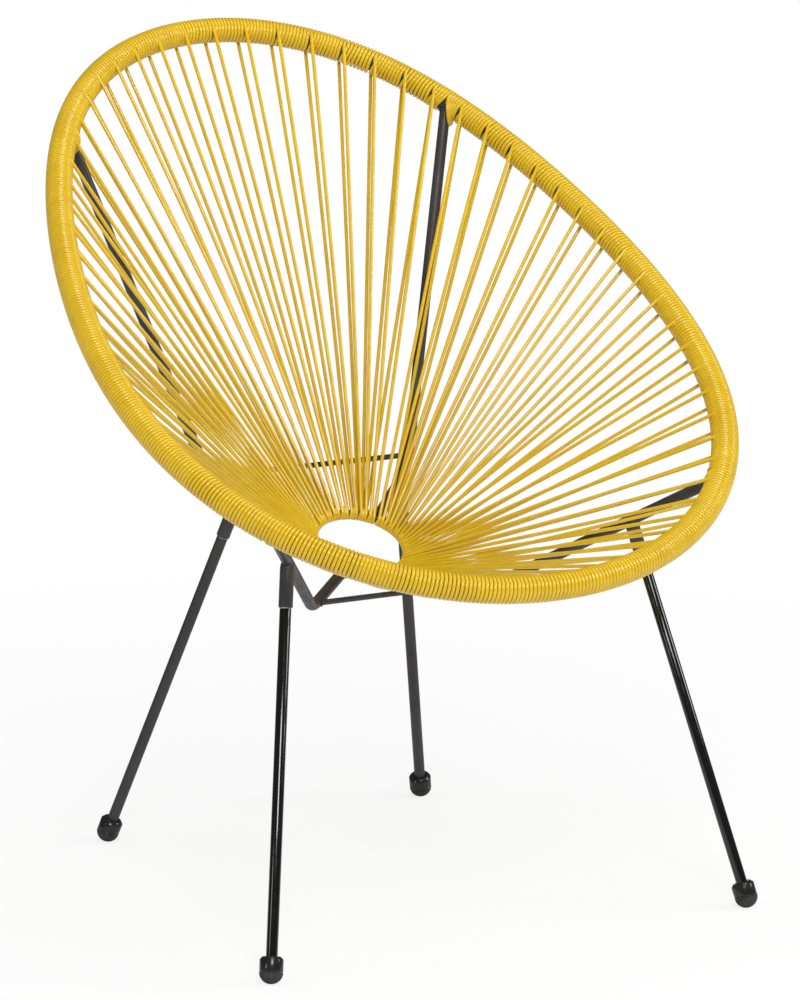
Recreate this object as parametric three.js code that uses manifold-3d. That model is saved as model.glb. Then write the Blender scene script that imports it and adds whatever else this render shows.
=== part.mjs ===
// Acapulco chair: an egg-shaped steel rim, four bent arms, a centre ring, four
// screw-in legs, and one cord wound round the rim and strung to the ring.
// Millimetres, +Z up. The chair faces -Y, and +X is the sitter's left.
import * as THREE from 'three';
import { mergeVertices } from 'three/addons/utils/BufferGeometryUtils.js';
import Module from 'manifold-3d';

const wasm = await Module();
wasm.setup();

// Clearance between touching pieces, and the finest detail that a boolean keeps
const seatGap = 0.3;
const finestDetail = 0.02;

// Rim: half sizes of the egg, the sizes of its second and third harmonics, and its slight saddle
const rimHalfWidth = 339.4;
const rimHalfLength = 435.5;
const shoulderDrawIn = 42.2;
const flankFullness = 18.3;
const crownDrop = 32.1;
const noseFullness = 11.1;
const rimSaddle = 2.6;
const rimCentreY = 28.7;
const rimCentreHeight = 644.6;
const rimRecline = THREE.MathUtils.degToRad(31.8);
const hoopRadius = 9.5;

// Where the arms meet the rim, as shares of its length counted from the top
const backJointShare = 0.1146;
const frontJointShare = 0.3787;

// Centre ring
const ringCentreY = 31.2;
const ringCentreHeight = 358;
const ringRadius = 54.7;
const ringRodRadius = 6;
const ringTilt = THREE.MathUtils.degToRad(29);

// Arms: bent tubes from the rim to the centre ring
const armRadius = 6;
const backCornerX = 118;
const backCornerBehindRing = 111.5;
const backCornerAboveRing = 46;
const backBendRadius = 95;
const frontCornerX = 109;
const frontCornerAheadOfRing = 97;
const frontCornerBelowRing = 40;
const frontBendRadius = 30;
const bendSteps = 7;

// Cross rods, and where they meet the arms, as shares of the arm's length from the rim
const rodRadius = 3;
const backRodShare = 0.767;
const frontRodShare = 0.78;

// Leg joints, as shares of the arm's length from the rim
const backLegShare = 0.836;
const frontLegShare = 0.297;

// Feet: where each leg's axis passes the seam of its foot
const frontFootX = 280.5;
const frontFootY = -300.5;
const backFootX = 195.5;
const backFootY = 251.7;
const footSeamHeight = 11;

// Legs: hollow tubes, each with a threaded stud that screws into a welded socket
const legRadius = 6;
const legWall = 1.2;
const socketRadius = 7.3;
const socketWall = 1.1;
const socketLength = 45;
const socketInset = 2;
const nutLength = 16;
const nutInset = 2;
const studRadius = 4;
const studReach = 22;
const studPlug = 14;
const flangeThickness = 1;
const flangeRadius = 6.5;

// Feet: a glossy collar over a domed pad
const footRadius = 12.2;
const collarHeight = 16;
const shoulderHeight = 3;
const shoulderRadius = 9.6;
const collarWeb = 3;
const domeHeight = 11.8;
const pegRadius = 3.6;

// Cord: groups of wraps, one strung loop to each group
const stringRadius = 1.9;
const wrapRadius = 14;
const anchorRadius = 10.9;
const panelGap = 0.4;
const loopSteps = 3;
const armSideGap = 8.2;

// Counts
const backPanelGroups = [3, 3, 3, 3, 3];
const sidePanelGroups = [3, 4, 3, 4, 3];
const frontPanelGroups = [3, 3, 4, 3, 3];
const sleeveSides = 8;
const stringSides = 3;
const tubeSides = 12;
const ringSides = 10;
const ringSteps = 32;
const legSides = 16;
const footSides = 20;

const up = new THREE.Vector3(0, 0, 1);
const across = new THREE.Vector3(1, 0, 0);

// Materials
const cordColour = 0xe0ae26;
const frameColour = 0x3f3d40;
const glossColour = 0x232325;
const padColour = 0x2c2b2d;
const zincColour = 0xc4c6c8;

function material(color, roughness, metalness) {
  return new THREE.MeshStandardMaterial({ color, roughness, metalness });
}

function namedMesh(name, geometry, finish) {
  const mesh = new THREE.Mesh(geometry, finish);
  mesh.name = name;
  return mesh;
}

// Boolean helpers: plain triangles in, plain triangles out
function toSolid(geometry) {
  const bare = new THREE.BufferGeometry();
  bare.setAttribute('position', geometry.getAttribute('position'));
  if (geometry.index) bare.setIndex(geometry.index);
  const merged = mergeVertices(bare, seatGap / 1000);
  const vertProperties = Float32Array.from(merged.getAttribute('position').array);
  const triVerts = Uint32Array.from(merged.index.array);
  return new wasm.Manifold(new wasm.Mesh({ numProp: 3, vertProperties, triVerts }));
}

function toGeometry(solid) {
  const mesh = solid.getMesh();
  const geometry = new THREE.BufferGeometry();
  const places = new Float32Array(mesh.vertProperties);
  geometry.setAttribute('position', new THREE.BufferAttribute(places, 3));
  geometry.setIndex(new THREE.BufferAttribute(new Uint32Array(mesh.triVerts), 1));
  geometry.computeVertexNormals();
  return geometry;
}

function join(solids) {
  return solids.reduce((whole, solid) => whole.add(solid));
}

function cut(solid, tools) {
  return tools.reduce((left, tool) => left.subtract(tool), solid);
}

// A closed solid through rings of points that all have the same count
function loft(rings, closed = false) {
  const count = rings[0].length;
  const places = rings.flat().flatMap((point) => point.toArray());
  const faces = [];
  const last = closed ? rings.length : rings.length - 1;
  for (let i = 0; i < last; i++) {
    const here = i * count;
    const next = ((i + 1) % rings.length) * count;
    for (let j = 0; j < count; j++) {
      const k = (j + 1) % count;
      faces.push(here + j, here + k, next + k, here + j, next + k, next + j);
    }
  }
  for (let j = 1; !closed && j < count - 1; j++) {
    const end = last * count;
    faces.push(0, j + 1, j, end, end + j, end + j + 1);
  }
  const geometry = new THREE.BufferGeometry();
  geometry.setAttribute('position', new THREE.Float32BufferAttribute(places, 3));
  geometry.setIndex(faces);
  geometry.computeVertexNormals();
  return geometry;
}

// A path through given stations, so that straight runs take one step each
class StationPath extends THREE.Curve {
  constructor(stations) {
    super();
    this.stations = stations;
  }

  getPoint(t) {
    const place = t * (this.stations.length - 1);
    const i = Math.min(Math.floor(place), this.stations.length - 2);
    return this.stations[i].clone().lerp(this.stations[i + 1], place - i);
  }

  getPointAt(u) {
    return this.getPoint(u);
  }

  getTangentAt(u) {
    const i = Math.round(u * (this.stations.length - 1));
    const before = this.stations[Math.max(i - 1, 0)];
    const after = this.stations[Math.min(i + 1, this.stations.length - 1)];
    return after.clone().sub(before).normalize();
  }
}

// Stations of a tube with one bend of a true radius at its corner
function bentStations(start, corner, end, bendRadius) {
  const back = start.clone().sub(corner).normalize();
  const ahead = end.clone().sub(corner).normalize();
  const halfTurn = (Math.PI - back.angleTo(ahead)) / 2;
  const bisector = back.clone().add(ahead).normalize();
  const centre = corner.clone().addScaledVector(bisector, bendRadius / Math.cos(halfTurn));
  const axis = back.clone().cross(ahead).normalize();
  const first = corner.clone().addScaledVector(back, bendRadius * Math.tan(halfTurn)).sub(centre);
  const stations = [start];
  for (let i = 0; i <= bendSteps; i++) {
    const turn = (-2 * halfTurn * i) / bendSteps;
    stations.push(first.clone().applyAxisAngle(axis, turn).add(centre));
  }
  stations.push(end);
  return stations;
}

function placeAlong(stations, share) {
  const steps = stations.slice(1).map((point, i) => point.distanceTo(stations[i]));
  let left = share * steps.reduce((sum, step) => sum + step);
  let i = 0;
  while (i < steps.length - 1 && left > steps[i]) {
    left -= steps[i];
    i += 1;
  }
  return stations[i].clone().lerp(stations[i + 1], left / steps[i]);
}

function roundShape(radius, sides) {
  const points = [];
  for (let i = 0; i < sides; i++) {
    const angle = (2 * Math.PI * i) / sides;
    points.push(new THREE.Vector2(radius * Math.cos(angle), radius * Math.sin(angle)));
  }
  return new THREE.Shape(points);
}

function tube(stations, radius) {
  const options = { steps: stations.length - 1, extrudePath: new StationPath(stations) };
  return new THREE.ExtrudeGeometry(roundShape(radius, tubeSides), { ...options, bevelEnabled: false });
}

function lathe(profile, sides) {
  const points = profile.map(([radius, height]) => new THREE.Vector2(radius, height));
  return new THREE.LatheGeometry(points, sides).rotateX(Math.PI / 2);
}

// The rim's centre line: an egg in its own plane, counted from the top to the sitter's left
const rimUpward = new THREE.Vector3(0, Math.cos(rimRecline), Math.sin(rimRecline));
const rimNormal = new THREE.Vector3(0, -Math.sin(rimRecline), Math.cos(rimRecline));

class RimCurve extends THREE.Curve {
  constructor() {
    super();
    this.arcLengthDivisions = 720;
  }

  getPoint(t) {
    const a = 2 * Math.PI * t;
    const width = rimHalfWidth * Math.sin(a) - shoulderDrawIn * Math.sin(2 * a);
    const length = rimHalfLength * Math.cos(a) - crownDrop * Math.cos(2 * a);
    return new THREE.Vector3(0, rimCentreY, rimCentreHeight)
      .addScaledVector(across, width + flankFullness * Math.sin(3 * a))
      .addScaledVector(rimUpward, length + noseFullness * Math.cos(3 * a))
      .addScaledVector(rimNormal, rimSaddle * Math.cos(2 * a));
  }
}

const rimCurve = new RimCurve();
const rimLength = rimCurve.getLength();

function wrapShare(share) {
  return ((share % 1) + 1) % 1;
}

// The rim at a share of its length: its centre and the direction into the seat
function rimStation(share) {
  const centre = rimCurve.getPointAt(wrapShare(share));
  const inward = rimCurve.getTangentAt(wrapShare(share)).cross(rimNormal).normalize();
  return { centre, inward };
}

function rimRing(share, radius) {
  const { centre, inward } = rimStation(share);
  const points = [];
  for (let j = 0; j < sleeveSides; j++) {
    const angle = (2 * Math.PI * (j + 0.5)) / sleeveSides;
    points.push(centre.clone()
      .addScaledVector(inward, radius * Math.cos(angle))
      .addScaledVector(rimNormal, -radius * Math.sin(angle)));
  }
  return points;
}

// The centre ring lies in a plane that slopes down to the front
const ringUpward = new THREE.Vector3(0, Math.cos(ringTilt), Math.sin(ringTilt));
const ringNormal = new THREE.Vector3(0, -Math.sin(ringTilt), Math.cos(ringTilt));
const ringCentre = new THREE.Vector3(0, ringCentreY, ringCentreHeight);

function ringOutward(angle) {
  return across.clone().multiplyScalar(Math.sin(angle)).addScaledVector(ringUpward, Math.cos(angle));
}

function ringPoint(angle) {
  return ringCentre.clone().addScaledVector(ringOutward(angle), ringRadius);
}

function ringTorus(rodRadius) {
  const torus = new THREE.TorusGeometry(ringRadius, rodRadius, ringSides, ringSteps);
  return torus.rotateX(ringTilt).translate(0, ringCentreY, ringCentreHeight);
}

// Quarters of the cord work, each between two arms
const quarters = [
  { name: 'back', from: -backJointShare, to: backJointShare, panels: backPanelGroups },
  { name: 'left', from: backJointShare, to: frontJointShare, panels: sidePanelGroups },
  { name: 'front', from: frontJointShare, to: 1 - frontJointShare, panels: frontPanelGroups },
  { name: 'right', from: 1 - frontJointShare, to: 1 - backJointShare, panels: sidePanelGroups },
];

function groupCount(quarter) {
  return quarter.panels.reduce((sum, count) => sum + count);
}

function groupBoundary(quarter, index) {
  return quarter.from + ((quarter.to - quarter.from) * index) / groupCount(quarter);
}

// Rim hoop, with its facets on the group boundaries
function rimHoop(radius) {
  const rings = quarters.flatMap((quarter) =>
    Array.from({ length: groupCount(quarter) }, (_, i) => rimRing(groupBoundary(quarter, i), radius)));
  return loft(rings, true);
}

// Arms, as stations from the rim to the ring, for the left side or mirrored
function armStations(where, side) {
  const atBack = where === 'back';
  const share = atBack ? backJointShare : frontJointShare;
  const start = rimStation(share).centre;
  const corner = ringCentre.clone().add(atBack
    ? new THREE.Vector3(backCornerX, backCornerBehindRing, backCornerAboveRing)
    : new THREE.Vector3(frontCornerX, -frontCornerAheadOfRing, -frontCornerBelowRing));
  const end = ringPoint(atBack ? Math.PI / 4 : (3 * Math.PI) / 4);
  const bend = atBack ? backBendRadius : frontBendRadius;
  return bentStations(start, corner, end, bend)
    .map((point) => point.multiply(new THREE.Vector3(side, 1, 1)));
}

const sides = [{ name: 'left', sign: 1 }, { name: 'right', sign: -1 }];
const armEnds = ['front', 'back'];
const hoopTool = toSolid(rimHoop(hoopRadius + seatGap));
const ringTool = toSolid(ringTorus(ringRodRadius + seatGap));

function armSolid(where, side) {
  return cut(toSolid(tube(armStations(where, side), armRadius)), [hoopTool, ringTool]);
}

function armTool(where, side) {
  return toSolid(tube(armStations(where, side), armRadius + seatGap));
}

// A straight rod between the two arms, coped to both
function crossRod(where, share) {
  const ends = sides.map(({ sign }) => placeAlong(armStations(where, sign), share));
  const tools = sides.map(({ sign }) => armTool(where, sign));
  return toGeometry(cut(toSolid(tube(ends, rodRadius)), tools));
}

// One loop of cord: from the rim's front face over the ring, round its inside and back
function loopStations(quarter, quarterIndex, index) {
  const rimShare = groupBoundary(quarter, index + 0.5);
  const { centre } = rimStation(rimShare);
  const armSideAngle = Math.asin(armSideGap / ringRadius);
  const evenShare = (index + 0.5) / groupCount(quarter) - 0.5;
  const squeezedShare = index / (groupCount(quarter) - 1) - 0.5;
  const over = (quarterIndex + evenShare) * (Math.PI / 2);
  const under = quarterIndex * (Math.PI / 2) + squeezedShare * (Math.PI / 2 - 2 * armSideAngle);
  const run = centre.clone().sub(ringPoint(over)).normalize();
  const slope = Math.atan2(run.dot(ringNormal), run.dot(ringOutward(over)));
  const turnRadius = (ringRodRadius + seatGap + stringRadius / 2) / Math.cos(Math.PI / 2 / loopSteps);
  const leave = run.clone().cross(rimCurve.getTangentAt(wrapShare(rimShare))).normalize();
  leave.multiplyScalar(Math.sign(leave.dot(rimNormal)) * anchorRadius);
  const stations = [centre.clone().add(leave)];
  for (let i = 0; i < loopSteps; i++) {
    const share = (i + 0.5) / loopSteps;
    const ringAngle = over + (under - over) * share * share;
    const turn = Math.PI / 2 + slope + Math.PI * share;
    stations.push(ringPoint(ringAngle)
      .addScaledVector(ringOutward(ringAngle), turnRadius * Math.cos(turn))
      .addScaledVector(ringNormal, turnRadius * Math.sin(turn)));
  }
  stations.push(centre.clone().sub(leave));
  return { stations, beside: ringOutward(over + Math.PI / 2) };
}

function cordLoop(quarter, quarterIndex, index) {
  const { stations, beside } = loopStations(quarter, quarterIndex, index);
  const path = new StationPath(stations);
  const rings = stations.map((centre, i) => {
    const ahead = path.getTangentAt(i / (stations.length - 1));
    const flat = beside.clone().addScaledVector(ahead, -beside.dot(ahead)).normalize();
    const high = ahead.clone().cross(flat);
    return Array.from({ length: stringSides }, (_, j) => {
      const angle = Math.PI / 2 + (2 * Math.PI * j) / stringSides;
      return centre.clone()
        .addScaledVector(flat, stringRadius * Math.cos(angle))
        .addScaledVector(high, stringRadius * Math.sin(angle));
    });
  });
  return toSolid(loft(rings));
}

// The wraps of a run of groups, as a sleeve round the hoop
function wrapSleeve(quarter, first, count) {
  const endGapShare = panelGap / 2 / rimLength;
  const rings = [rimRing(groupBoundary(quarter, first) + endGapShare, wrapRadius)];
  for (let i = first + 1; i < first + count; i++) {
    rings.push(rimRing(groupBoundary(quarter, i), wrapRadius));
  }
  rings.push(rimRing(groupBoundary(quarter, first + count) - endGapShare, wrapRadius));
  return toSolid(loft(rings));
}

function cordPanel(quarter, quarterIndex, first, count) {
  const loops = Array.from({ length: count }, (_, i) => cordLoop(quarter, quarterIndex, first + i));
  const tools = [hoopTool, ...armTools];
  const wound = cut(join([wrapSleeve(quarter, first, count), ...loops]), tools);
  return toGeometry(wound.simplify(finestDetail));
}

// Legs stand along their own axis, from the seam of the foot up to the arm
const legs = [
  { name: 'front_left', where: 'front', sign: 1 },
  { name: 'front_right', where: 'front', sign: -1 },
  { name: 'back_left', where: 'back', sign: 1 },
  { name: 'back_right', where: 'back', sign: -1 },
];

function footPlace({ where, sign }) {
  return where === 'front'
    ? new THREE.Vector3(sign * frontFootX, frontFootY, footSeamHeight)
    : new THREE.Vector3(sign * backFootX, backFootY, footSeamHeight);
}

function legTop({ where, sign }) {
  return placeAlong(armStations(where, sign), where === 'front' ? frontLegShare : backLegShare);
}

// A lathe solid of straight steps: a round piece with a bore through it
function bush(outer, inner, bottom, top, faces) {
  return lathe([[inner, bottom], [outer, bottom], [outer, top], [inner, top], [inner, bottom]], faces);
}

function footPad(intoLeg) {
  const dome = [];
  const domeSteps = 6;
  for (let i = 0; i <= domeSteps; i++) {
    const turn = (Math.PI / 2) * (1 - i / domeSteps);
    dome.push([footRadius * Math.cos(turn), -domeHeight * Math.sin(turn)]);
  }
  const profile = [...dome, [pegRadius, 0], [pegRadius, collarWeb], [0, collarWeb]];
  const floor = new THREE.BoxGeometry(4 * footRadius, 4 * footRadius, domeHeight);
  floor.translate(0, 0, -domeHeight / 2 - footSeamHeight).applyMatrix4(intoLeg);
  return toGeometry(cut(toSolid(lathe(profile, footSides)), [toSolid(floor)]));
}

function footCollar() {
  const bore = legRadius + seatGap;
  const pegBore = pegRadius + seatGap;
  const web = collarWeb + seatGap;
  return lathe([
    [pegBore, seatGap], [footRadius, seatGap], [footRadius, collarHeight - shoulderHeight],
    [shoulderRadius, collarHeight], [bore, collarHeight], [bore, web], [pegBore, web],
    [pegBore, seatGap],
  ], footSides);
}

function legStud() {
  const plug = legRadius - legWall - seatGap;
  return lathe([
    [0, -studPlug], [plug, -studPlug], [plug, 0], [flangeRadius, 0], [flangeRadius, flangeThickness],
    [studRadius, flangeThickness], [studRadius, studReach], [0, studReach],
  ], legSides);
}

function addLeg(chair, leg) {
  const foot = footPlace(leg);
  const top = legTop(leg);
  const length = top.distanceTo(foot);
  const group = new THREE.Group();
  group.position.copy(foot);
  group.quaternion.setFromUnitVectors(up, top.clone().sub(foot).normalize());
  group.updateMatrix();
  const intoLeg = new THREE.Matrix4().makeRotationFromQuaternion(group.quaternion).invert();
  const mouth = length - socketInset - socketLength;
  const legBottom = collarWeb + 2 * seatGap;
  const legEnd = mouth - flangeThickness - 2 * seatGap;
  const bore = socketRadius - socketWall;
  const gloss = leg.where === 'front' ? glossColour : frameColour;
  const tubeFinish = material(gloss, leg.where === 'front' ? 0.25 : 0.5, 0.3);

  const pad = namedMesh(`foot_pad_${leg.name}`, footPad(intoLeg), material(padColour, 0.85, 0));
  const collar = namedMesh(`foot_collar_${leg.name}`, footCollar(), material(glossColour, 0.3, 0));
  const shank = bush(legRadius, legRadius - legWall, legBottom, legEnd, legSides);
  const legTube = namedMesh(`leg_tube_${leg.name}`, shank, tubeFinish);
  const stud = namedMesh(`leg_stud_${leg.name}`, legStud(), material(zincColour, 0.3, 0.9));
  stud.position.z = legEnd + seatGap;
  const nutRing = bush(bore - seatGap, studRadius + seatGap, 0, nutLength, legSides);
  const nut = namedMesh(`socket_nut_${leg.name}`, nutRing, material(zincColour, 0.35, 0.9));
  nut.position.z = mouth + nutInset;

  const sleeve = toSolid(bush(socketRadius, bore, mouth, mouth + socketLength, legSides));
  const arm = armTool(leg.where, leg.sign).transform(group.matrix.clone().invert().toArray());
  const socketShape = toGeometry(sleeve.subtract(arm));
  const socket = namedMesh(`leg_socket_${leg.name}`, socketShape, material(frameColour, 0.5, 0.3));
  group.add(pad, collar, legTube, stud, nut, socket);
  chair.add(group);
}

const armTools = armEnds.flatMap((where) => sides.map(({ sign }) => armTool(where, sign)));

function frame() {
  const group = new THREE.Group();
  const finish = () => material(frameColour, 0.5, 0.3);
  group.add(namedMesh('rim_hoop', rimHoop(hoopRadius), finish()));
  for (const where of armEnds) {
    for (const { name, sign } of sides) {
      group.add(namedMesh(`${where}_arm_${name}`, toGeometry(armSolid(where, sign)), finish()));
    }
  }
  group.add(namedMesh('front_cross_rod', crossRod('front', frontRodShare), finish()));
  group.add(namedMesh('back_cross_rod', crossRod('back', backRodShare), finish()));
  group.add(namedMesh('centre_ring', ringTorus(ringRodRadius), finish()));
  return group;
}

function cordSeat() {
  const group = new THREE.Group();
  quarters.forEach((quarter, quarterIndex) => {
    let first = 0;
    quarter.panels.forEach((count, i) => {
      const panel = cordPanel(quarter, quarterIndex, first, count);
      const name = `cord_panel_${quarter.name}_${i + 1}`;
      group.add(namedMesh(name, panel, material(cordColour, 0.35, 0)));
      first += count;
    });
  });
  return group;
}

const chair = new THREE.Group();
chair.add(frame(), cordSeat());
legs.forEach((leg) => addLeg(chair, leg));

export default chair;
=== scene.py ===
import math
import random
from bisect import bisect_right

import bmesh
import bpy
from mathutils import Matrix, Vector


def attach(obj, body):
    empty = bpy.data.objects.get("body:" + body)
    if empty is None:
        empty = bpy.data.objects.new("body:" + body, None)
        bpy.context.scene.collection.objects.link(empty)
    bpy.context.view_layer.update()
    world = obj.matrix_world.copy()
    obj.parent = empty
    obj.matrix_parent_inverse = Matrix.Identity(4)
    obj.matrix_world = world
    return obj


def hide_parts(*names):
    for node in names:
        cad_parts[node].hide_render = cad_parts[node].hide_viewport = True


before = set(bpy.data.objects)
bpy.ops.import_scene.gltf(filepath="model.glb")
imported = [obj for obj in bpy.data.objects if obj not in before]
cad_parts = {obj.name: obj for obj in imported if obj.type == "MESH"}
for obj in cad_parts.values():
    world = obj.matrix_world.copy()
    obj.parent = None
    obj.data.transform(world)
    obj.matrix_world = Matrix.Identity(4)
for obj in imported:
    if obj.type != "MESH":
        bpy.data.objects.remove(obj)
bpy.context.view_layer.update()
rng = random.Random(7)
print("frame loaded")

upward = Vector((0, 0, 1))
across = Vector((1, 0, 0))


# Materials: every one is built from nodes on object coordinates

def setInput(node, name, value):
    node.inputs[name].default_value = value


class Paint:
    def __init__(self, name, rough, metallic=0.0, coat=0.0, level=0.5):
        self.material = bpy.data.materials.new(name)
        self.material.use_nodes = True
        self.nodes = self.material.node_tree.nodes
        self.links = self.material.node_tree.links
        self.shader = self.nodes["Principled BSDF"]
        setInput(self.shader, "Roughness", rough)
        setInput(self.shader, "Metallic", metallic)
        setInput(self.shader, "Coat Weight", coat)
        setInput(self.shader, "Coat Roughness", 0.08)
        setInput(self.shader, "Specular IOR Level", level)
        self.place = self.nodes.new("ShaderNodeTexCoord").outputs["Object"]
        self.bumpChain = None

    def noise(self, scale, detail=4.0, rough=0.55, stretch=(1, 1, 1)):
        mapping = self.nodes.new("ShaderNodeMapping")
        setInput(mapping, "Scale", stretch)
        self.links.new(self.place, mapping.inputs["Vector"])
        node = self.nodes.new("ShaderNodeTexNoise")
        setInput(node, "Scale", scale)
        setInput(node, "Detail", detail)
        setInput(node, "Roughness", rough)
        self.links.new(mapping.outputs["Vector"], node.inputs["Vector"])
        return node.outputs["Fac"]

    # Stretches the part of a noise between two values over a new range
    def spread(self, value, low, high, fromLow=0.3, fromHigh=0.7):
        node = self.nodes.new("ShaderNodeMapRange")
        setInput(node, "From Min", fromLow)
        setInput(node, "From Max", fromHigh)
        setInput(node, "To Min", low)
        setInput(node, "To Max", high)
        self.links.new(value, node.inputs["Value"])
        return node.outputs["Result"]

    def mix(self, share, first, second):
        node = self.nodes.new("ShaderNodeMix")
        node.data_type = "RGBA"
        for socket, colour in ((node.inputs[6], first), (node.inputs[7], second)):
            if isinstance(colour, tuple):
                socket.default_value = (*colour, 1)
            else:
                self.links.new(colour, socket)
        self.links.new(share, node.inputs["Factor"])
        return node.outputs[2]

    def bump(self, height, distance, strength=1.0):
        node = self.nodes.new("ShaderNodeBump")
        setInput(node, "Distance", distance)
        setInput(node, "Strength", strength)
        self.links.new(height, node.inputs["Height"])
        if self.bumpChain:
            self.links.new(self.bumpChain, node.inputs["Normal"])
        self.bumpChain = node.outputs["Normal"]
        self.links.new(self.bumpChain, self.shader.inputs["Normal"])

    def done(self, colour, roughness):
        self.links.new(colour, self.shader.inputs["Base Color"])
        self.links.new(roughness, self.shader.inputs["Roughness"])
        return self.material


def cordMaterial():
    look = {"body": (0.69, 0.452, 0.008), "faded": (0.75, 0.517, 0.016), "deep": (0.56, 0.32, 0.005),
            "grime": (0.20, 0.12, 0.012), "rough": (0.19, 0.27), "coat": 0.25,
            "fadedScale": 9, "deepScale": 42, "grimeScale": 420, "rubbedScale": 120, "grainScale": 380}
    paint = Paint("cord_pvc", 0.24, coat=look["coat"])
    faded = paint.spread(paint.noise(look["fadedScale"], 3), 0, 1)
    deep = paint.spread(paint.noise(look["deepScale"], 4), 0, 0.45)
    grime = paint.spread(paint.noise(look["grimeScale"], 3, 0.7), 0, 0.5, 0.66, 0.78)
    colour = paint.mix(faded, look["body"], look["faded"])
    colour = paint.mix(deep, colour, look["deep"])
    colour = paint.mix(grime, colour, look["grime"])
    paint.bump(paint.noise(look["grainScale"], 3), 0.00005, 0.1)
    rubbed = paint.spread(paint.noise(look["rubbedScale"], 5), 0, 1, 0.35, 0.75)
    return paint.done(colour, paint.spread(rubbed, *look["rough"], 0, 1))


def frameMaterial():
    look = {"body": (0.031, 0.029, 0.032), "light": (0.047, 0.044, 0.047), "bare": (0.16, 0.155, 0.15),
            "rough": (0.36, 0.56), "cloudScale": 14, "chipScale": 260, "roughScale": 75,
            "powderScale": 900, "waveScale": 55}
    paint = Paint("frame_powder_coat", 0.45, level=0.4)
    cloud = paint.spread(paint.noise(look["cloudScale"], 4), 0, 1)
    chips = paint.spread(paint.noise(look["chipScale"], 5, 0.7), 0, 1, 0.70, 0.74)
    colour = paint.mix(cloud, look["body"], look["light"])
    colour = paint.mix(chips, colour, look["bare"])
    paint.bump(paint.noise(look["powderScale"], 3), 0.00008, 0.6)
    paint.bump(paint.noise(look["waveScale"], 3), 0.0003, 0.25)
    return paint.done(colour, paint.spread(paint.noise(look["roughScale"], 4), *look["rough"]))


# Shiny black: enamel on the front legs, nylon on the feet, with scuffs drawn out along z
def glossMaterial(name, look):
    paint = Paint(name, look["rough"], coat=look["coat"], level=0.25)
    cloud = paint.spread(paint.noise(20, 4), 0, 1)
    scuffs = paint.spread(paint.noise(300, 5, 0.75, (1, 1, 0.12)), 0, 0.6, 0.64, 0.74)
    colour = paint.mix(cloud, look["body"], look["light"])
    colour = paint.mix(scuffs, colour, look["scuff"])
    paint.bump(paint.noise(45, 3), 0.0003, 0.2)
    paint.bump(paint.noise(800, 3), 0.00004, 0.4)
    return paint.done(colour, paint.spread(paint.noise(90, 4), look["rough"] - 0.06, look["rough"] + 0.1))


def padMaterial():
    look = {"body": (0.026, 0.025, 0.026), "dust": (0.10, 0.095, 0.088), "rough": (0.7, 0.9),
            "dustScale": 160, "roughScale": 60, "grainScale": 1400}
    paint = Paint("foot_rubber", 0.8)
    dust = paint.spread(paint.noise(look["dustScale"], 5, 0.7), 0, 0.5, 0.5, 0.75)
    colour = paint.mix(dust, look["body"], look["dust"])
    paint.bump(paint.noise(look["grainScale"], 3), 0.0001, 0.7)
    return paint.done(colour, paint.spread(paint.noise(look["roughScale"], 3), *look["rough"]))


def zincMaterial():
    look = {"body": (0.62, 0.62, 0.64), "dull": (0.40, 0.40, 0.42), "rough": (0.22, 0.46),
            "dullScale": 130, "roughScale": 220, "grainScale": 700}
    paint = Paint("zinc_plate", 0.3, metallic=0.95)
    dull = paint.spread(paint.noise(look["dullScale"], 5), 0, 1)
    colour = paint.mix(dull, look["body"], look["dull"])
    paint.bump(paint.noise(look["grainScale"], 3), 0.00005, 0.5)
    return paint.done(colour, paint.spread(paint.noise(look["roughScale"], 4), *look["rough"]))


materials = {
    "cord": cordMaterial(),
    "frame_paint": frameMaterial(),
    "front_leg_gloss": glossMaterial("front_leg_enamel", {
        "body": (0.004, 0.0038, 0.004), "light": (0.007, 0.0066, 0.007), "scuff": (0.05, 0.047, 0.044),
        "rough": 0.14, "coat": 0.55}),
    "foot_gloss": glossMaterial("foot_nylon", {
        "body": (0.010, 0.010, 0.011), "light": (0.017, 0.016, 0.017), "scuff": (0.09, 0.085, 0.08),
        "rough": 0.24, "coat": 0.3}),
    "foot_pad": padMaterial(),
    "zinc": zincMaterial(),
}
print("materials made")


# Building helpers

def addPiece(name, mesh, slot, node, sharpAngle=40):
    mesh.name = name
    mesh.materials.clear()
    mesh.materials.append(materials[slot])
    mesh.polygons.foreach_set("use_smooth", [True] * len(mesh.polygons))
    mesh.set_sharp_from_angle(angle=math.radians(sharpAngle))
    piece = bpy.data.objects.new(name, mesh)
    bpy.context.scene.collection.objects.link(piece)
    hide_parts(node)
    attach(piece, "root")


# A round tube along some points, with a share of the radius for each point where thicks has them
def tubeMesh(points, radius, sides, closed=False, thicks=None):
    curve = bpy.data.curves.new("tube", "CURVE")
    curve.dimensions = "3D"
    curve.bevel_depth = radius
    curve.bevel_resolution = sides // 2 - 2  # Blender gives it twice this many sides and four more
    curve.use_fill_caps = not closed
    spline = curve.splines.new("POLY")
    spline.points.add(len(points) - 1)
    for spot, point in zip(spline.points, points):
        spot.co = (*point, 1)
    if thicks:
        for spot, thick in zip(spline.points, thicks):
            spot.radius = thick
    spline.use_cyclic_u = closed
    holder = bpy.data.objects.new("tube", curve)
    bpy.context.scene.collection.objects.link(holder)
    mesh = bpy.data.meshes.new_from_object(holder.evaluated_get(bpy.context.evaluated_depsgraph_get()))
    bpy.data.objects.remove(holder)
    bpy.data.curves.remove(curve)
    return mesh


def finishedMesh(bm):
    mesh = bpy.data.meshes.new("piece")
    bm.to_mesh(mesh)
    bm.free()
    return mesh


def joinMeshes(meshes):
    bm = bmesh.new()
    for mesh in meshes:
        bm.from_mesh(mesh)
        bpy.data.meshes.remove(mesh)
    return finishedMesh(bm)


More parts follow.
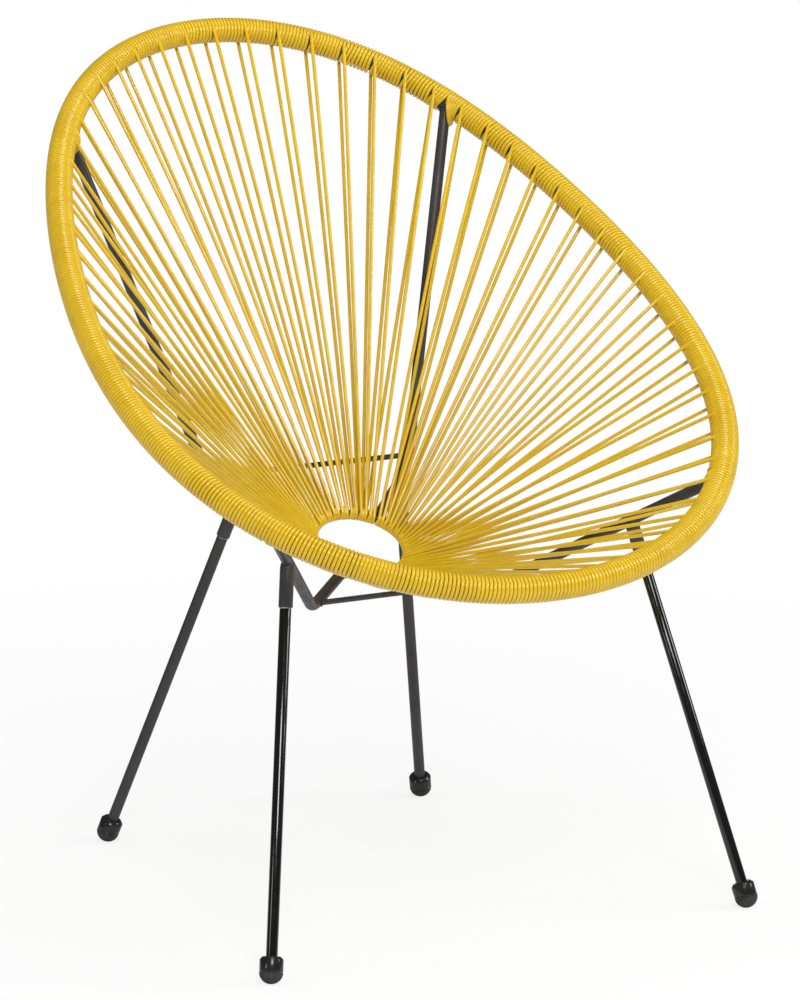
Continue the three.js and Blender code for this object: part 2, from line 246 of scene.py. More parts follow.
def placedMesh(bm, place):
    bmesh.ops.transform(bm, matrix=place, verts=bm.verts)
    return finishedMesh(bm)


# Spins all that the bmesh holds once round z into a closed solid
def spun(bm, steps):
    bmesh.ops.spin(bm, geom=bm.verts[:] + bm.edges[:], cent=(0, 0, 0), axis=(0, 0, 1), dvec=(0, 0, 0),
                   angle=2 * math.pi, steps=steps, use_merge=True)
    bmesh.ops.remove_doubles(bm, verts=bm.verts, dist=1e-6)
    bmesh.ops.recalc_face_normals(bm, faces=bm.faces)
    return bm


# A turned solid about z: the profile goes round in (radius, height), in millimetres
def turned(profile, steps):
    bm = bmesh.new()
    spots = [bm.verts.new((radius / 1000, 0, height / 1000)) for radius, height in profile]
    for first, second in zip(spots, spots[1:]):
        bm.edges.new((first, second))
    return spun(bm, steps)


# A round section spun into a ring about z
def ringSolid(radius, thick, segments, steps):
    bm = bmesh.new()
    place = Matrix.Translation((radius, 0, 0)) @ Matrix.Rotation(math.pi / 2, 4, "X")
    bmesh.ops.create_circle(bm, segments=segments, radius=thick, matrix=place)
    return spun(bm, steps)


# Rounds the edges that turn by more than an angle in degrees, by a width in millimetres
def soften(bm, width, steps, sharpAngle=28):
    sharp = [edge for edge in bm.edges
             if edge.is_manifold and edge.calc_face_angle(0) > math.radians(sharpAngle)]
    bmesh.ops.bevel(bm, geom=sharp, offset=width / 1000, offset_type="OFFSET", affect="EDGES",
                    segments=steps, profile=0.5, material=-1, clamp_overlap=True)


def raised(bm, height):
    bmesh.ops.translate(bm, vec=(0, 0, height / 1000), verts=bm.verts)
    return bm


def alongAxis(origin, axis):
    return Matrix.Translation(origin) @ upward.rotation_difference(axis).to_matrix().to_4x4()


# A weld bead: a lumpy little ring round a tube where it meets another
weld = {"segments": 10, "steps": 36, "lumps": 11, "lumpHeight": 0.25}


def weldBead(origin, axis, radius, thick):
    bm = ringSolid(radius, thick, weld["segments"], weld["steps"])
    for vert in bm.verts:
        turn = math.atan2(vert.co.y, vert.co.x)
        vert.co.z += weld["lumpHeight"] * thick * math.sin(weld["lumps"] * turn)
    return placedMesh(bm, alongAxis(origin, axis))


# The rim's centre line: an egg in a leaning plane, measured along its length from the top
rim = {"halfWidth": 0.3394, "halfLength": 0.4355, "shoulderDrawIn": 0.0422, "flankFullness": 0.0183,
       "crownDrop": 0.0321, "noseFullness": 0.0111, "saddle": 0.0026, "frontDrop": 0.0040,
       "centre": Vector((0, 0.0287, 0.6446)), "recline": math.radians(31.8), "samples": 1440,
       "tangentReach": 0.01, "hoopRadius": 0.0095, "hoopPoints": 300, "hoopSides": 20}
rimUpward = Vector((0, math.cos(rim["recline"]), math.sin(rim["recline"])))
rimNormal = Vector((0, -math.sin(rim["recline"]), math.cos(rim["recline"])))


def rimPoint(angle):
    wide = (rim["halfWidth"] * math.sin(angle) - rim["shoulderDrawIn"] * math.sin(2 * angle)
            + rim["flankFullness"] * math.sin(3 * angle))
    long = (rim["halfLength"] * math.cos(angle) - rim["crownDrop"] * math.cos(2 * angle)
            + rim["noseFullness"] * math.cos(3 * angle))
    high = rim["saddle"] * math.cos(2 * angle) - rim["frontDrop"] * (1 - math.cos(angle)) / 2
    return rim["centre"] + across * wide + rimUpward * long + rimNormal * high


# The length along the rim at each sample
rimTable = [0.0]
for step in range(rim["samples"]):
    here = rimPoint(2 * math.pi * step / rim["samples"])
    ahead = rimPoint(2 * math.pi * (step + 1) / rim["samples"])
    rimTable.append(rimTable[-1] + (ahead - here).length)
rimLength = rimTable[-1]


class RimSpot:
    def __init__(self, length):
        length = length % rimLength
        index = min(bisect_right(rimTable, length) - 1, rim["samples"] - 1)
        within = (length - rimTable[index]) / (rimTable[index + 1] - rimTable[index])
        angle = 2 * math.pi * (index + within) / rim["samples"]
        self.centre = rimPoint(angle)
        reach = rim["tangentReach"]
        self.tangent = (rimPoint(angle + reach) - rimPoint(angle - reach)).normalized()
        self.inward = self.tangent.cross(rimNormal).normalized()
        self.normal = self.inward.cross(self.tangent)

    def around(self, turn, radius):
        return self.centre + (self.inward * math.cos(turn) + self.normal * math.sin(turn)) * radius


# The centre ring, in a plane that slopes down to the front
ring = {"centre": Vector((0, 0.0309, 0.3549)), "radius": 0.0532, "rodRadius": 0.0035,
        "tilt": math.radians(27.4), "segments": 24, "steps": 96}
ringUpward = Vector((0, math.cos(ring["tilt"]), math.sin(ring["tilt"])))
ringNormal = Vector((0, -math.sin(ring["tilt"]), math.cos(ring["tilt"])))


def ringOutward(angle):
    return across * math.sin(angle) + ringUpward * math.cos(angle)


def ringSpot(angle):
    return ring["centre"] + ringOutward(angle) * ring["radius"]


def makeHoop():
    count = rim["hoopPoints"]
    points = [RimSpot(rimLength * step / count).centre for step in range(count)]
    hoop = tubeMesh(points, rim["hoopRadius"], rim["hoopSides"], closed=True)
    addPiece("rim_hoop_tube", hoop, "frame_paint", "rim_hoop")


def makeRing():
    bm = ringSolid(ring["radius"], ring["rodRadius"], ring["segments"], ring["steps"])
    place = Matrix.Translation(ring["centre"]) @ Matrix.Rotation(ring["tilt"], 4, "X")
    addPiece("centre_ring_rod", placedMesh(bm, place), "frame_paint", "centre_ring")


# Arms: each runs from the rim to the ring with one bend. They meet the rim at these shares of its
# length, counted down the left side from the top
joints = {"back": 0.1146, "front": 0.3787}
sides = {"left": 1, "right": -1}
arm = {"radius": 0.006, "bendSteps": 20, "sides": 20,
       "back": {"corner": Vector((0.118, 0.1427, 0.404)), "bend": 0.095, "ringAngle": math.pi / 4},
       "front": {"corner": Vector((0.109, -0.0658, 0.318)), "bend": 0.045, "ringAngle": 3 * math.pi / 4},
       "rimBead": 0.0098, "ringBead": 0.0012, "beadRadius": 0.0063, "beadThick": 0.0012}


def mirrored(point, side):
    return Vector((point.x * side, point.y, point.z))


def armPath(where, side):
    shape = arm[where]
    start = RimSpot(rimLength * joints[where]).centre
    corner = shape["corner"]
    end = ringSpot(shape["ringAngle"]) + ringOutward(shape["ringAngle"]) * ring["rodRadius"]
    back = (start - corner).normalized()
    ahead = (end - corner).normalized()
    halfTurn = (math.pi - back.angle(ahead)) / 2
    centre = corner + (back + ahead).normalized() * (shape["bend"] / math.cos(halfTurn))
    axis = back.cross(ahead).normalized()
    first = corner + back * (shape["bend"] * math.tan(halfTurn)) - centre
    path = [start]
    for step in range(arm["bendSteps"] + 1):
        path.append(centre + Matrix.Rotation(-2 * halfTurn * step / arm["bendSteps"], 3, axis) @ first)
    path.append(end)
    return [mirrored(point, side) for point in path]


# The point at a share of a path's length
def placeAlong(path, share):
    steps = [(after - before).length for before, after in zip(path, path[1:])]
    left = share * sum(steps)
    index = 0
    while index < len(steps) - 1 and left > steps[index]:
        left -= steps[index]
        index += 1
    return path[index].lerp(path[index + 1], left / steps[index])


def makeArms():
    for where in ("front", "back"):
        for sideName, side in sides.items():
            path = armPath(where, side)
            parts = [tubeMesh(path, arm["radius"], arm["sides"])]
            rimAxis = (path[1] - path[0]).normalized()
            ringAxis = (path[-2] - path[-1]).normalized()
            for end, axis, gap in ((path[0], rimAxis, arm["rimBead"]), (path[-1], ringAxis, arm["ringBead"])):
                parts.append(weldBead(end + axis * gap, axis, arm["beadRadius"], arm["beadThick"]))
            addPiece(f"{where}_arm_tube_{sideName}", joinMeshes(parts), "frame_paint",
                     f"{where}_arm_{sideName}")


# Cross rods, at a share of the arm's length from the rim. Each end bites into its arm
rod = {"radius": 0.003, "sides": 16, "share": {"back": 0.767, "front": 0.78}, "bite": 0.001,
       "beadGap": 0.0002, "beadRadius": 0.0034, "beadThick": 0.0009}


def makeRods():
    for where, share in rod["share"].items():
        left = placeAlong(armPath(where, 1), share)
        right = mirrored(left, -1)
        inset = across * (arm["radius"] - rod["bite"])
        parts = [tubeMesh([left - inset, right + inset], rod["radius"], rod["sides"])]
        for end, axis in ((left, -across), (right, across)):
            parts.append(weldBead(end + axis * (arm["radius"] + rod["beadGap"]), axis, rod["beadRadius"],
                                  rod["beadThick"]))
        addPiece(f"{where}_rod_bar", joinMeshes(parts), "frame_paint", f"{where}_cross_rod")


makeHoop()
makeRing()
makeArms()
makeRods()
print("frame made")

# Legs: each stands along its own axis, from the seam of the foot up to its arm. The seams' places
# are in metres, and the sizes of the turned parts in millimetres
leg = {"front": {"seam": Vector((0.2805, -0.3005, 0.011)), "share": 0.297, "slot": "front_leg_gloss"},
       "back": {"seam": Vector((0.1955, 0.2517, 0.011)), "share": 0.836, "slot": "frame_paint"},
       "radius": 6, "wall": 1.2, "bottom": 3.6, "mouthGap": 1.6, "steps": 32}
socket = {"radius": 7.3, "bore": 6.2, "length": 45, "inset": 2, "edge": 0.3, "steps": 40}
foot = {"radius": 12.2, "collarHeight": 16, "seamGap": 0.3, "legBore": 6.3, "legStop": 3.3,
        "pegBore": 3.9, "collarSteps": 56, "domeHeight": 11.8, "domeSteps": 14, "peg": 3.6,
        "pegHeight": 3, "padSteps": 48, "padEdge": 0.25}
stud = {"shank": 4.5, "depth": 14, "flange": 6.5, "flangeHeight": 1.0, "edge": 0.3, "crest": 4.0,
        "root": 3.4, "tip": 3.2, "firstTurn": 1.4, "rise": 0.6, "pitch": 1.25, "turns": 16,
        "length": 22, "gap": 0.3, "steps": 40}
nut = {"radius": 5.9, "bore": 4.3, "length": 16, "edge": 0.3, "inset": 2, "steps": 40}


# The domed pad under the seam, cut level where it stands on the floor
def padSolid(floorPoint, floorNormal):
    turns = [math.pi / 2 * step / foot["domeSteps"] for step in range(foot["domeSteps"] + 1)]
    profile = [(foot["radius"] * math.sin(turn), -foot["domeHeight"] * math.cos(turn)) for turn in turns]
    profile += [(foot["peg"], 0), (foot["peg"], foot["pegHeight"]), (0, foot["pegHeight"])]
    bm = turned(profile, foot["padSteps"])
    soften(bm, foot["padEdge"], 3)
    cut = bmesh.ops.bisect_plane(bm, geom=bm.verts[:] + bm.edges[:] + bm.faces[:], plane_co=floorPoint,
                                 plane_no=floorNormal, clear_outer=False, clear_inner=True)
    cutEdges = [item for item in cut["geom_cut"] if isinstance(item, bmesh.types.BMEdge)]
    bmesh.ops.holes_fill(bm, edges=cutEdges)
    bmesh.ops.recalc_face_normals(bm, faces=bm.faces)
    return bm


# The glossy collar: a thin groove above the seam, straight sides and a rounded shoulder
def collarSolid():
    outer, top, seam, stop = foot["radius"], foot["collarHeight"], foot["seamGap"], foot["legStop"]
    profile = [(foot["pegBore"], seam), (outer - 0.4, seam), (outer, 0.8)]
    profile += [(outer, 2.2), (outer - 0.35, 2.6), (outer, 3.0)]
    profile += [(outer, top - 3.2), (outer - 0.2, top - 2.9), (outer - 2.3, top - 0.5)]
    profile += [(outer - 2.8, top - 0.15), (outer - 3.4, top)]
    profile += [(foot["legBore"] + 0.6, top), (foot["legBore"], top - 0.5)]
    profile += [(foot["legBore"], stop), (foot["pegBore"], stop), (foot["pegBore"], seam)]
    return turned(profile, foot["collarSteps"])


def legSolid(end):
    outer, inner, bottom = leg["radius"], leg["radius"] - leg["wall"], leg["bottom"]
    profile = [(inner, bottom), (outer, bottom), (outer, end - 0.5), (outer - 0.4, end)]
    profile += [(inner + 0.2, end), (inner, end - 0.3), (inner, bottom)]
    return turned(profile, leg["steps"])


# The threaded stud: its thread is a row of rings
def studSolid():
    edge, top = stud["edge"], stud["flangeHeight"]
    profile = [(0, -stud["depth"]), (stud["shank"], -stud["depth"]), (stud["shank"], 0)]
    profile += [(stud["flange"] - edge, 0), (stud["flange"], edge), (stud["flange"], top - edge)]
    profile += [(stud["flange"] - edge, top), (stud["crest"], top)]
    for turn in range(stud["turns"]):
        height = stud["firstTurn"] + stud["pitch"] * turn
        profile += [(stud["crest"], height), (stud["root"], height + stud["rise"])]
    profile += [(stud["tip"], stud["length"]), (0, stud["length"])]
    return turned(profile, stud["steps"])


def nutSolid():
    inner, outer, top, edge = nut["bore"], nut["radius"], nut["length"], nut["edge"]
    profile = [(inner, edge), (inner + edge, 0), (outer - edge, 0), (outer, edge)]
    profile += [(outer, top - edge), (outer - edge, top), (inner + edge, top), (inner, top - edge)]
    return turned(profile + profile[:1], nut["steps"])


# The socket tapers into the arm above it
def socketSolid(mouth):
    inner, outer, edge, top = socket["bore"], socket["radius"], socket["edge"], mouth + socket["length"]
    profile = [(inner, mouth + edge), (inner + edge, mouth), (outer - edge, mouth), (outer, mouth + edge)]
    profile += [(outer, top - 5), (outer - 0.2, top - 3.6), (outer - 0.8, top - 0.4), (inner, top)]
    return turned(profile + profile[:1], socket["steps"])


def makeLeg(where, sideName, side):
    seam = mirrored(leg[where]["seam"], side)
    top = placeAlong(armPath(where, side), leg[where]["share"])
    place = alongAxis(seam, (top - seam).normalized())
    inward = place.inverted()
    mouth = (top - seam).length * 1000 - socket["inset"] - socket["length"]
    end = mouth - leg["mouthGap"]
    parts = (("foot_dome", padSolid(inward.translation, inward.to_3x3() @ upward), "foot_pad", "foot_pad"),
             ("foot_sleeve", collarSolid(), "foot_gloss", "foot_collar"),
             ("leg_pipe", legSolid(end), leg[where]["slot"], "leg_tube"),
             ("leg_bolt", raised(studSolid(), end + stud["gap"]), "zinc", "leg_stud"),
             ("socket_thread", raised(nutSolid(), mouth + nut["inset"]), "zinc", "socket_nut"),
             ("leg_sleeve", socketSolid(mouth), "frame_paint", "leg_socket"))
    for name, bm, slot, node in parts:
        addPiece(f"{name}_{where}_{sideName}", placedMesh(bm, place), slot, f"{node}_{where}_{sideName}")


for where in ("front", "back"):
    for sideName, side in sides.items():
        makeLeg(where, sideName, side)
print("legs made")

# The cord: wound round the hoop with no gap, and after each group of wraps strung over the
# ring and back, so it leaves the hoop at the front and comes back to it behind
cord = {
    "radius": 0.00209, "sides": 10, "pitch": 0.00401, "coilRadius": 0.0117, "turnRadius": 0.0054,
    "thickness": 0.955, "stretched": 0.92, "squeezed": 0.9,  # of the radius: wound, strung, on the ring
    "frontStandOff": 0.0003, "sideStandOff": 0.0004,
    "wrapPoints": 24, "taperPoints": 12, "wobble": 0.0001, "scatter": 0.0005,
    "slack": (0.0003, 0.0014), "sagPoints": 8,
    "leanTurn": 1.25, "drag": 0.3, "fanTurns": 8, "fanReach": 2.1, "following": 0.8,
    "closing": (0.30, 0.44), "closingTurns": 4.5, "closingFullness": 1.5,
    "overAdvance": 0.45, "crossAdvance": 0.25, "freeAngle": math.radians(28),
    "firstLimit": math.radians(42), "overLimit": math.radians(41), "lowLimit": math.radians(39),
    "outerLimit": math.radians(35.5), "underLimit": math.radians(33.3), "underDrag": math.radians(1.0),
}
# The rim's quarters between the arms, with the groups of wraps in each of their panels
quarters = (
    {"name": "back", "from": -joints["back"], "to": joints["back"], "panels": (3, 3, 3, 3, 3)},
    {"name": "left", "from": joints["back"], "to": joints["front"], "panels": (3, 4, 3, 4, 3)},
    {"name": "front", "from": joints["front"], "to": 1 - joints["front"], "panels": (3, 3, 4, 3, 3)},
    {"name": "right", "from": 1 - joints["front"], "to": 1 - joints["back"], "panels": (3, 4, 3, 4, 3)},
)


# The winding stands off the hoop a little more at the front, and most at the sides
def coilAt(length):
    turn = 2 * math.pi * length / rimLength
    return (cord["coilRadius"] + cord["frontStandOff"] * (1 - math.cos(turn))
            + cord["sideStandOff"] * (1 - math.cos(2 * turn)))


# Keeps an angle on the ring clear of the arms, which stand at 45 degrees from the quarter's middle
def beside(angle, limit):
    free = cord["freeAngle"]
    if abs(angle) <= free:
        return angle
    return math.copysign(free + (abs(angle) - free) * (cord[limit] - free) / (math.pi / 4 - free), angle)


# Groups pass along the inside of the ring twice and once in turn
def passesOf(index):
    return 2 - index % 2


# One group's string: it stands at a base on the rim and at a row of angles on the ring
class Loop:
    def __init__(self, quarterIndex, index, count, panel):
        quarter = quarters[quarterIndex]
        self.passes = passesOf(index)
        share = (index + 0.5) / count
        self.panel = panel
        self.base = rimLength * (quarter["from"] + (quarter["to"] - quarter["from"]) * share)
        self.base += rng.uniform(-cord["scatter"], cord["scatter"])
        self.closing = rng.uniform(*cord["closing"])
        self.middle = quarterIndex * math.pi / 2
        before = sum(passesOf(other) for other in range(index))
        advance = math.pi / 2 / sum(passesOf(other) for other in range(count))
        over = min(cord["firstLimit"], (share - 0.5) * math.pi / 2 + cord["overAdvance"] * advance)
        inner = [(before + turn + 0.5) * advance - math.pi / 4 for turn in range(self.passes)]
        under = beside(over - cord["underDrag"], "underLimit")
        self.places = [over, inner[0], under]
        if self.passes == 2:
            between = (inner[0] + inner[1]) / 2
            cross = cord["crossAdvance"] * advance
            self.places[1:2] = [inner[1], beside(between + cross, "lowLimit"), beside(between, "outerLimit"),
                                beside(between - cross, "overLimit"), inner[0]]
        here = RimSpot(self.base)
        run = (ringSpot(self.ringAngle(0)) - here.centre).normalized()
        self.angle = math.atan2(run.dot(here.normal), run.dot(here.inward))
        lean = run.dot(here.tangent) / math.hypot(run.dot(here.normal), run.dot(here.inward))
        swing = cord["leanTurn"] * cord["coilRadius"] * lean / 2
        self.shift = cord["drag"] * swing
        self.base += max(0, swing) - self.shift

    # Angle on the ring after a share of the turns round it
    def ringAngle(self, share):
        place = min(share, 0.9999) * (len(self.places) - 1)  # stays inside the last pair
        index = int(place)
        first, second = self.places[index], self.places[index + 1]
        return self.middle + first + (second - first) * (place - index)

    # From the hoop's front over the ring, half a turn or one and a half round it, and back behind
    def strings(self):
        front = RimSpot(self.base + self.shift).around(self.angle + math.pi / 2, coilAt(self.base))
        behind = RimSpot(self.base - cord["pitch"] / 2).around(self.angle - math.pi / 2, coilAt(self.base))
        slopes = []
        for end, angle in ((front, self.ringAngle(0)), (behind, self.ringAngle(1))):
            run = (end - ringSpot(angle)).normalized()
            slopes.append(math.atan2(run.dot(ringNormal), run.dot(ringOutward(angle))))
        turns = []
        steps = 20 * self.passes - 8  # 12 for half a turn, 32 for one and a half
        whole = math.pi * (2 * self.passes - 1) + slopes[1] - slopes[0]
        for step in range(steps + 1):
            share = step / steps
            angle = self.ringAngle(share)
            turn = math.pi / 2 + slopes[0] + whole * share
            off = ringOutward(angle) * math.cos(turn) + ringNormal * math.sin(turn)
            turns.append(ringSpot(angle) + off * cord["turnRadius"])
        slack = rng.uniform(*cord["slack"])
        ends = [(point, cord["stretched"]) for point in sagged(front, turns[0], slack)]
        ends += [(point, cord["squeezed"]) for point in turns]
        return ends + [(point, cord["stretched"]) for point in sagged(turns[-1], behind, slack)]


# Points between two places, hanging a little below the straight line
def sagged(first, second, slack):
    points = []
    for step in range(1, cord["sagPoints"] + 1):
        share = step / (cord["sagPoints"] + 1)
        point = first.lerp(second, share)
        point.z -= slack * math.sin(math.pi * share)
        points.append(point)
    return points


# The same angle, between half a turn back and half a turn on
def halfTurned(angle):
    return (angle + math.pi) % (2 * math.pi) - math.pi


# One at an angle of nought, falling smoothly to nought at the reach
def bell(angle, reach):
    angle = halfTurned(angle)
    return 0.5 + 0.5 * math.cos(math.pi * angle / reach) if abs(angle) < reach else 0.0


# How far a wrap is pushed along the rim by the string beside it, u being its distance from that
# string's base: a leaning string fans its neighbours, and they close the place it leaves open
def pushed(loop, u, turn, towards):
    near = max(0.0, 1 - u / (cord["fanTurns"] * cord["pitch"]))
    fan = near * bell(turn - loop.angle - math.pi / 2, cord["fanReach"])
    lean = loop.shift * fan * (1 if towards * loop.shift > 0 else cord["following"])
    closing = min(1.0, max(0.0, 1 - (u / cord["pitch"] - 1) / cord["closingTurns"]))
    closing *= loop.closing * cord["pitch"]
    closing *= min(1, cord["closingFullness"] * bell(turn - loop.angle, math.pi / 2))
    return lean - towards * closing


# Where an arm meets the hoop the wraps part, and on the sharp side of a slanting arm they rise
# over one another instead. Distances run along the rim
parting = {"slantFrom": 0.2, "clearance": 1.05, "splitSpot": 0.0015, "reach": 0.023, "turnReach": 2.0,
           "sharpLift": 0.5, "lift": 0.3}


class ArmRoot:
    def __init__(self, where, side):
        path = armPath(where, side)
        self.spot = rimLength * (joints[where] if side == 1 else 1 - joints[where])
        here = RimSpot(self.spot)
        axis = (path[1] - path[0]).normalized()
        along = axis.dot(here.tangent)
        off = math.sqrt(1 - along * along)
        self.turn = math.atan2(axis.dot(here.normal), axis.dot(here.inward))
        self.sharp = abs(along) > parting["slantFrom"]
        self.sign = 1 if along > 0 else -1
        self.slope = abs(along) / off
        self.half = arm["radius"] / off + parting["clearance"] * cord["radius"]

    # The push along the rim and the lift off the hoop of the wrap that passes this spot
    def push(self, spot, turn):
        offset = (spot - self.spot + rimLength / 2) % rimLength - rimLength / 2
        if abs(offset) > 2 * parting["reach"]:
            return 0.0, 0.0
        past = halfTurned(turn - self.turn)
        u = self.sign * (offset - past / (2 * math.pi) * cord["pitch"])
        centre = cord["coilRadius"] * self.slope
        right, left = centre + self.half, centre - self.half
        split = parting["splitSpot"] if self.sharp else centre
        if u > split and self.sharp:
            lift = parting["sharpLift"] * max(0.0, right - u)
            target = max(u, (cord["coilRadius"] + lift) * self.slope + self.half) if lift else u
        elif u > split:
            lift = parting["lift"] * max(0.0, right - u)
            target = max(u, right + (u - split) * (1 - (right - split) / parting["reach"]))
        else:
            lift = parting["lift"] * max(0.0, u - left)
            target = min(u, left + (u - split) * (1 - (split - left) / parting["reach"]))
        share = bell(past, parting["turnReach"])
        return self.sign * (target - u) * share, lift * share


armRoots = [ArmRoot(where, side) for where in ("front", "back") for side in (1, -1)]


# Wraps from where a string comes back behind the hoop to where the next one leaves it
def coil(later, earlier):
    gap = (later.base - earlier.base) % rimLength
    start = later.base - cord["pitch"] / 2
    length = gap - cord["pitch"] / 2
    startTurn = later.angle - math.pi / 2
    extra = (later.angle - earlier.angle) / (2 * math.pi)
    turns = math.floor(length / cord["pitch"] - extra) + 0.5 + extra
    total = 2 * math.pi * turns
    count = round(cord["wrapPoints"] * turns)
    wobble = [rng.uniform(-cord["wobble"], cord["wobble"]) for _ in range(int(turns) + 3)]
    points = []
    for step in range(count + 1):
        gone = total * step / count
        base = start - length * step / count
        turn = startTurn - gone
        left = total - gone
        toEnd = min(step, count - step)
        spot = base + pushed(later, later.base - base, turn, -1)
        held = pushed(earlier, base - later.base + gap, turn, 1)
        if left > math.pi:
            spot += held
        else:
            spot += earlier.shift * max(0.0, 1 - left / cord["leanTurn"]) ** 2
            spot += held * (1 - bell(left, math.pi))
        whole = gone / (2 * math.pi)
        index = int(whole)
        ease = 0.5 - 0.5 * math.cos(math.pi * (whole - index))
        edge = min(1, toEnd / cord["wrapPoints"])
        spot += edge * (wobble[index] * (1 - ease) + wobble[index + 1] * ease)
        wound = min(1, toEnd / cord["taperPoints"])
        thick = cord["stretched"] + (cord["thickness"] - cord["stretched"]) * wound
        lifted = coilAt(base)
        for root in armRoots:
            push, lift = root.push(base, turn)
            spot += push
            lifted += lift
        points.append((RimSpot(spot).around(turn, lifted), thick))
    return points


def makeLoops():
    loops = []
    for quarterIndex, quarter in enumerate(quarters):
        count = sum(quarter["panels"])
        index = 0
        for number, groups in enumerate(quarter["panels"]):
            for _ in range(groups):
                loops.append(Loop(quarterIndex, index, count, f"{quarter['name']}_{number + 1}"))
                index += 1
    return loops


# Panel by panel: two neighbours share the wraps between them half and half
def makeCord():
    loops = makeLoops()
    coils = [coil(loop, loops[index - 1]) for index, loop in enumerate(loops)]
    paths = {}
    for index in range(len(loops) - 1, -1, -1):
        loop = loops[index]
        above = coils[(index + 1) % len(loops)]
        path = paths.setdefault(loop.panel, [])
        if not path:
            path.extend(above[len(above) // 2:])
        path.extend(loop.strings())
        own = coils[index]
        path.extend(own if loops[index - 1].panel == loop.panel else own[:len(own) // 2 + 1])
    total = 0
    for panel, path in paths.items():
        points = [point for point, _ in path]
        total += sum((after - before).length for before, after in zip(points, points[1:]))
        mesh = tubeMesh(points, cord["radius"], cord["sides"], thicks=[thick for _, thick in path])
        addPiece(f"cord_run_{panel}", mesh, "cord", f"cord_panel_{panel}", 60)
    print("cord length", round(total, 2), "m")


makeCord()
print("cord made")

# Studio: pale floor, soft light, white surround for the camera only
studio = {"floor": 40.0, "floorDark": (0.84, 0.84, 0.84), "floorLight": (0.87, 0.87, 0.87),
          "whiteNear": 0.78, "whiteFar": 1.0, "nearUpTo": 0.2, "farFrom": 1.5,
          "world": (0.90, 0.91, 0.92), "worldStrength": 0.5, "glossShare": 0.25}
lamps = {
    "key": {"place": (-1.1, -3.1, 3.0), "target": (0, 0, 0.45), "size": 1.2, "power": 86},
    "side": {"place": (-3.2, -0.7, 1.3), "target": (0, 0, 0.5), "size": 0.7, "power": 8},
    "fill": {"place": (2.7, -1.4, 2.0), "target": (0, 0, 0.45), "size": 1.1, "power": 34},
    "top": {"place": (0.3, -0.1, 3.4), "target": (0, 0, 0.5), "size": 1.5, "power": 24},
}
photoCamera = {"place": (-2.6586, -4.9069, 1.6073), "downward": 12.12, "turn": -28.73, "sensor": 32,
               "lensPerSensor": 6.75, "clipEnd": 60}


# The share of the second shader is the factor
def mixShaders(nodes, links, factor, first, second, output):
    mixer = nodes.new("ShaderNodeMixShader")
    links.new(factor, mixer.inputs["Fac"])
    links.new(first, mixer.inputs[1])
    links.new(second, mixer.inputs[2])
    links.new(mixer.outputs["Shader"], nodes[output].inputs["Surface"])


# The floor is nearly white to the camera, and lets the object's shadow through near the middle
def floorMaterial():
    paint = Paint("studio_floor", 0.9, level=0.1)
    nodes, links = paint.nodes, paint.links
    cloud = paint.spread(paint.noise(2, 2), 0, 1)
    colour = paint.mix(cloud, studio["floorDark"], studio["floorLight"])
    links.new(colour, paint.shader.inputs["Base Color"])
    distance = nodes.new("ShaderNodeVectorMath")
    distance.operation = "LENGTH"
    links.new(paint.place, distance.inputs[0])
    far = paint.spread(distance.outputs["Value"], studio["whiteNear"], studio["whiteFar"],
                       studio["nearUpTo"], studio["farFrom"])
    camera = nodes.new("ShaderNodeLightPath").outputs["Is Camera Ray"]
    share = nodes.new("ShaderNodeMath")
    share.operation = "MULTIPLY"
    links.new(far, share.inputs[0])
    links.new(camera, share.inputs[1])
    white = nodes.new("ShaderNodeEmission")
    setInput(white, "Color", (1, 1, 1, 1))
    mixShaders(nodes, links, share.outputs["Value"], paint.shader.outputs["BSDF"],
               white.outputs["Emission"], "Material Output")
    return paint.material


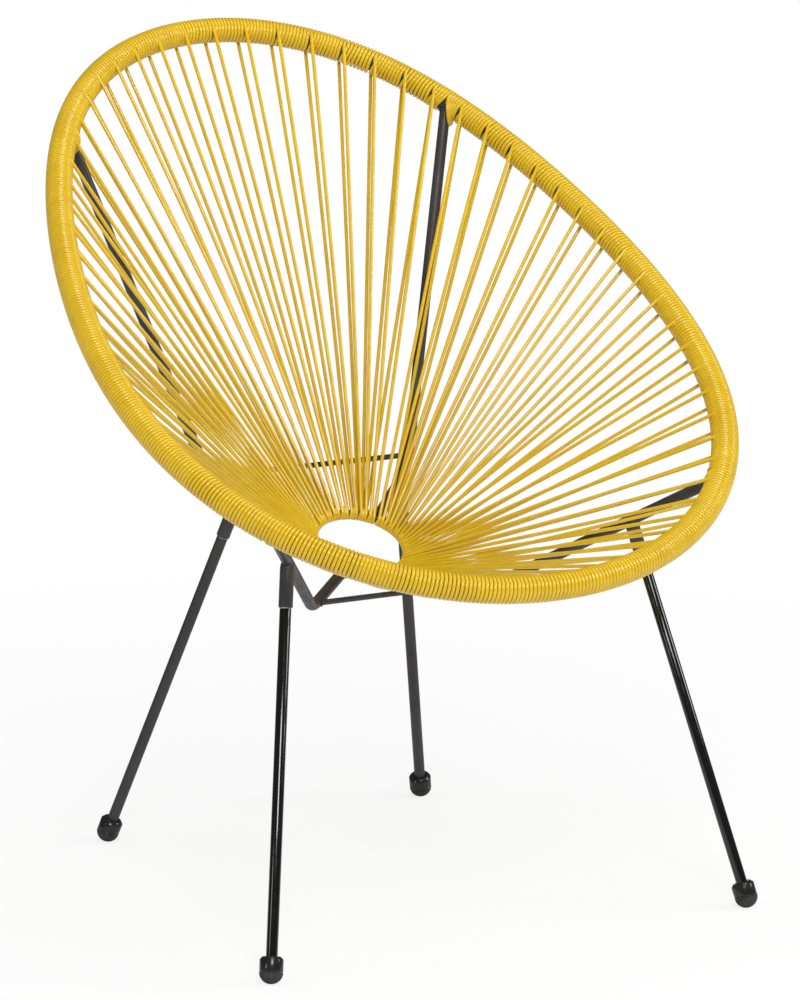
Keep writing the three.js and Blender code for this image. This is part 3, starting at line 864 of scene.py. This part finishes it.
def makeFloor():
    bm = bmesh.new()
    bmesh.ops.create_grid(bm, x_segments=8, y_segments=8, size=studio["floor"] / 2)
    mesh = finishedMesh(bm)
    mesh.materials.append(floorMaterial())
    floor = bpy.data.objects.new("studio_floor", mesh)
    bpy.context.scene.collection.objects.link(floor)


def makeWorld():
    world = bpy.data.worlds.new("studio_world")
    bpy.context.scene.world = world
    world.use_nodes = True
    nodes, links = world.node_tree.nodes, world.node_tree.links
    rays = nodes.new("ShaderNodeLightPath")
    light = nodes["Background"]
    setInput(light, "Color", (*studio["world"], 1))
    # Shiny surfaces mirror a dimmer world than the one that lights them
    dimmer = nodes.new("ShaderNodeMapRange")
    setInput(dimmer, "To Min", studio["worldStrength"])
    setInput(dimmer, "To Max", studio["worldStrength"] * studio["glossShare"])
    links.new(rays.outputs["Is Glossy Ray"], dimmer.inputs["Value"])
    links.new(dimmer.outputs["Result"], light.inputs["Strength"])
    white = nodes.new("ShaderNodeBackground")
    setInput(white, "Color", (1, 1, 1, 1))
    setInput(white, "Strength", 1.0)
    mixShaders(nodes, links, rays.outputs["Is Camera Ray"], light.outputs["Background"],
               white.outputs["Background"], "World Output")


def addLamp(name, shape):
    lamp = bpy.data.lights.new(name, "AREA")
    lamp.shape = "SQUARE"
    lamp.size = shape["size"]
    lamp.energy = shape["power"]
    holder = bpy.data.objects.new(name, lamp)
    holder.location = shape["place"]
    aim = Vector(shape["target"]) - Vector(shape["place"])
    holder.rotation_euler = aim.to_track_quat("-Z", "Y").to_euler()
    bpy.context.scene.collection.objects.link(holder)


def makeCamera():
    data = bpy.data.cameras.new("photo_camera")
    data.sensor_width = photoCamera["sensor"]
    data.sensor_fit = "HORIZONTAL"
    data.lens = photoCamera["lensPerSensor"] * photoCamera["sensor"]
    data.clip_end = photoCamera["clipEnd"]
    camera = bpy.data.objects.new("photo_camera", data)
    camera.location = photoCamera["place"]
    camera.rotation_euler = (math.radians(90 - photoCamera["downward"]), 0, math.radians(photoCamera["turn"]))
    bpy.context.scene.collection.objects.link(camera)
    bpy.context.scene.camera = camera


makeFloor()
makeWorld()
for name, shape in lamps.items():
    addLamp(name, shape)
makeCamera()
bpy.context.scene.view_settings.view_transform = "Standard"
print("studio made")
